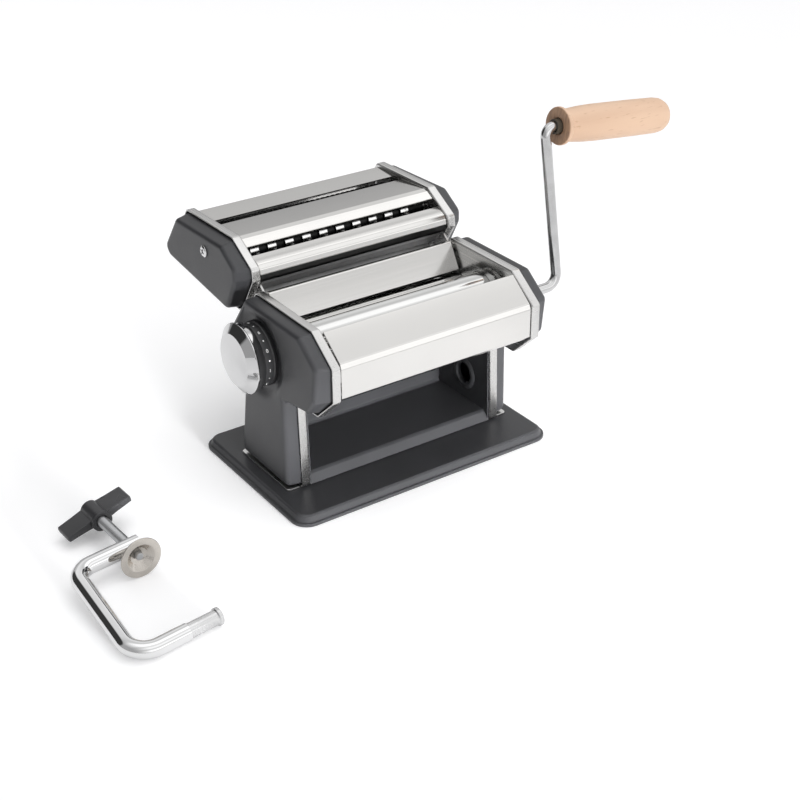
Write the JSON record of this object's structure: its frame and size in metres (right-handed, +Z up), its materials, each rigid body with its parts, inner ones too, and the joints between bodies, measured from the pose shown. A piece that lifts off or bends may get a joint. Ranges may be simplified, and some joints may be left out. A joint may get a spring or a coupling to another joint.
{
  "type": "pasta machine",
  "caption": "Hand-cranked table-top pasta machine with smooth rollers, gap knob, slide-off cutter unit with grooved rollers, wooden-gripped crank and loose table clamp.",
  "frame": {"origin": "middle of the base's footprint on the table", "axes": "+X along the rollers towards the crank, +Y to the back where the cutter unit overhangs, +Z up"},
  "size_m": [0.4665, 0.2544, 0.2199],
  "materials": {
    "polished_steel": "bright polished steel sheet with a light rolling grain",
    "brushed_steel": "satin machined steel",
    "dark_paint": "satin dark grey powder coat",
    "chrome": "mirror chrome plate",
    "black_plastic": "matte black moulded plastic",
    "wood": "smooth turned beech, clear lacquer"
  },
  "bodies": {
    "frame": {"base_plate": "dark_paint", "tray": "dark_paint", "side_frame_left": "polished_steel", "side_frame_right": "polished_steel", "side_cover_left": "dark_paint", "side_cover_right": "dark_paint", "rear_cover": "polished_steel", "front_cover": "polished_steel", "tie_rod_front": "brushed_steel", "tie_rod_rear": "brushed_steel", "front_bush_left": "black_plastic", "front_bush_right": "black_plastic", "scraper_front": "polished_steel", "scraper_rear": "polished_steel", "guide_left": "polished_steel", "guide_right": "polished_steel"},
    "front_roller_body": {"front_roller": "polished_steel", "front_roller_gear": "brushed_steel", "drive_wheel": "brushed_steel"},
    "rear_carrier": {"bearing_block_left": "black_plastic", "bearing_block_right": "black_plastic"},
    "rear_roller_body": {"rear_roller": "polished_steel", "rear_roller_gear": "brushed_steel"},
    "pinion_body": {"drive_pinion": "brushed_steel"},
    "crank": {"crank_rod": "chrome", "grip_bush": "black_plastic"},
    "grip_body": {"grip": "wood"},
    "adjuster": {"adjuster_shaft": "brushed_steel", "adjuster_spring": "brushed_steel"},
    "knob": {"knob_dial": "black_plastic", "knob_cap": "chrome"},
    "cutter_unit": {"cutter_side_left": "polished_steel", "cutter_side_right": "polished_steel", "cutter_cover_left": "dark_paint", "cutter_cover_right": "dark_paint", "cutter_screw_left": "chrome", "cutter_screw_right": "chrome", "cutter_strip_rear": "polished_steel", "cutter_strip_roof": "polished_steel", "cutter_strip_front": "polished_steel", "cutter_rod_middle": "brushed_steel", "cutter_rod_rear": "brushed_steel", "cutter_rod_front": "brushed_steel", "comb_narrow_front": "polished_steel", "comb_narrow_rear": "polished_steel", "comb_wide_front": "polished_steel", "comb_wide_rear": "polished_steel"},
    "narrow_front_body": {"narrow_cutter_front": "brushed_steel", "narrow_gear_front": "brushed_steel"},
    "narrow_rear_body": {"narrow_cutter_rear": "brushed_steel", "narrow_gear_rear": "brushed_steel"},
    "wide_front_body": {"wide_cutter_front": "brushed_steel", "wide_gear_front": "brushed_steel"},
    "wide_rear_body": {"wide_cutter_rear": "brushed_steel", "wide_gear_rear": "brushed_steel"},
    "clamp": {"clamp_frame": "chrome"},
    "clamp_pad_body": {"clamp_pad": "brushed_steel"},
    "clamp_screw_body": {"clamp_screw": "brushed_steel", "clamp_handle": "black_plastic"}
  },
  "joints": [
    {"name": "front_roller_spin", "type": "hinge", "parent": "frame", "child": "front_roller_body", "pos_m": [0, -0.0258, 0.1048], "axis": [1, 0, 0], "continuous": true},
    {"name": "gap_slide", "type": "slide", "parent": "frame", "child": "rear_carrier", "axis": [0, -0.9225, 0.3859], "range_m": [0, 0.0025]},
    {"name": "rear_roller_spin", "type": "hinge", "parent": "rear_carrier", "child": "rear_roller_body", "pos_m": [0, 0.00169, 0.0933], "axis": [1, 0, 0], "continuous": true},
    {"name": "pinion_spin", "type": "hinge", "parent": "frame", "child": "pinion_body", "pos_m": [0, -0.0437, 0.103], "axis": [1, 0, 0], "continuous": true},
    {"name": "crank_pull_out", "type": "slide", "parent": "pinion_body", "child": "crank", "axis": [1, 0, 0], "range_m": [0, 0.008]},
    {"name": "grip_spin", "type": "hinge", "parent": "crank", "child": "grip_body", "pos_m": [0.1155, -0.0276, 0.2086], "axis": [0.9945, 0, -0.1045], "continuous": true},
    {"name": "gap_turn", "type": "hinge", "parent": "frame", "child": "adjuster", "pos_m": [0, 0.00054, 0.09378], "axis": [1, 0, 0], "range_deg": [0, 324]},
    {"name": "knob_pull", "type": "slide", "parent": "adjuster", "child": "knob", "axis": [-1, 0, 0], "range_m": [0, 0.004], "stiffness_N_per_m": 400, "deforming": ["adjuster_spring"]},
    {"name": "cutter_unit_lift_off", "type": "slide", "parent": "frame", "child": "cutter_unit", "axis": [0, -0.619, 0.7854], "range_m": [0, 0.06]},
    {"name": "narrow_front_spin", "type": "hinge", "parent": "cutter_unit", "child": "narrow_front_body", "pos_m": [0, 0.0749, 0.1385], "axis": [1, 0, 0], "continuous": true},
    {"name": "narrow_rear_spin", "type": "hinge", "parent": "cutter_unit", "child": "narrow_rear_body", "pos_m": [0, 0.0887, 0.1385], "axis": [1, 0, 0], "continuous": true},
    {"name": "wide_rear_spin", "type": "hinge", "parent": "cutter_unit", "child": "wide_rear_body", "pos_m": [0, 0.05165, 0.13925], "axis": [1, 0, 0], "continuous": true},
    {"name": "wide_front_spin", "type": "hinge", "parent": "cutter_unit", "child": "wide_front_body", "pos_m": [0, 0.0365, 0.1305], "axis": [1, 0, 0], "continuous": true},
    {"name": "clamp_lift_off", "type": "slide", "parent": "frame", "child": "clamp", "axis": [0, 0, 1], "range_m": [0, 0.15]},
    {"name": "pad_travel", "type": "slide", "parent": "clamp", "child": "clamp_pad_body", "axis": [0.052, -0.9986, -0.0037], "range_m": [-0.002, 0.027]},
    {"name": "clamp_screw_turn", "type": "hinge", "parent": "clamp_pad_body", "child": "clamp_screw_body", "pos_m": [-0.2046, 0.0064, 0.0136], "axis": [0.052, -0.9986, -0.0037], "range_deg": [-578, 7778]}
  ],
  "couplings": [
    {"joint": "rear_roller_spin", "follows": "front_roller_spin", "ratio": -1},
    {"joint": "pinion_spin", "follows": "front_roller_spin", "ratio": -2},
    {"joint": "gap_turn", "follows": "gap_slide", "rad_per_m": 2261.9},
    {"joint": "narrow_rear_spin", "follows": "narrow_front_spin", "ratio": -1},
    {"joint": "wide_front_spin", "follows": "wide_rear_spin", "ratio": -1},
    {"joint": "clamp_screw_turn", "follows": "pad_travel", "rad_per_m": 5026.5}
  ]
}
